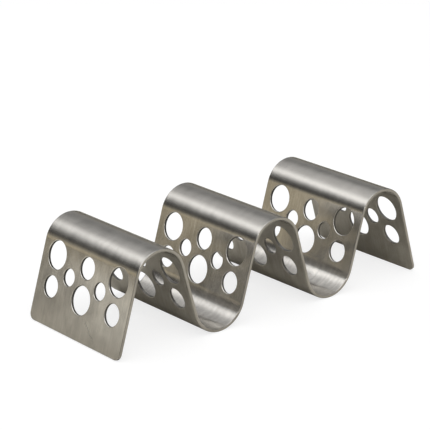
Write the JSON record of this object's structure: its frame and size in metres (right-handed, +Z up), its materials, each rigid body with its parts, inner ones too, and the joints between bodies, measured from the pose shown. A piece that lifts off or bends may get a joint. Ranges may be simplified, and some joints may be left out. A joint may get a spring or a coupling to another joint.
{
  "type": "taco holder",
  "caption": "Low wave-folded strip of satin stainless sheet with round-bottomed slots between rounded ridges, punched faces and a leg at each end.",
  "frame": {"origin": "on the table, under the middle ridge, in the middle of the strip's width", "axes": "+X along the row of slots, +Y across the strip, along the folds, +Z up from the table"},
  "size_m": [0.1356, 0.0508, 0.035],
  "materials": {
    "stainless": "satin stainless sheet, fine grain along the strip's length, deburred edges"
  },
  "bodies": {
    "root": {"folded_strip": "stainless"}
  },
  "joints": []
}
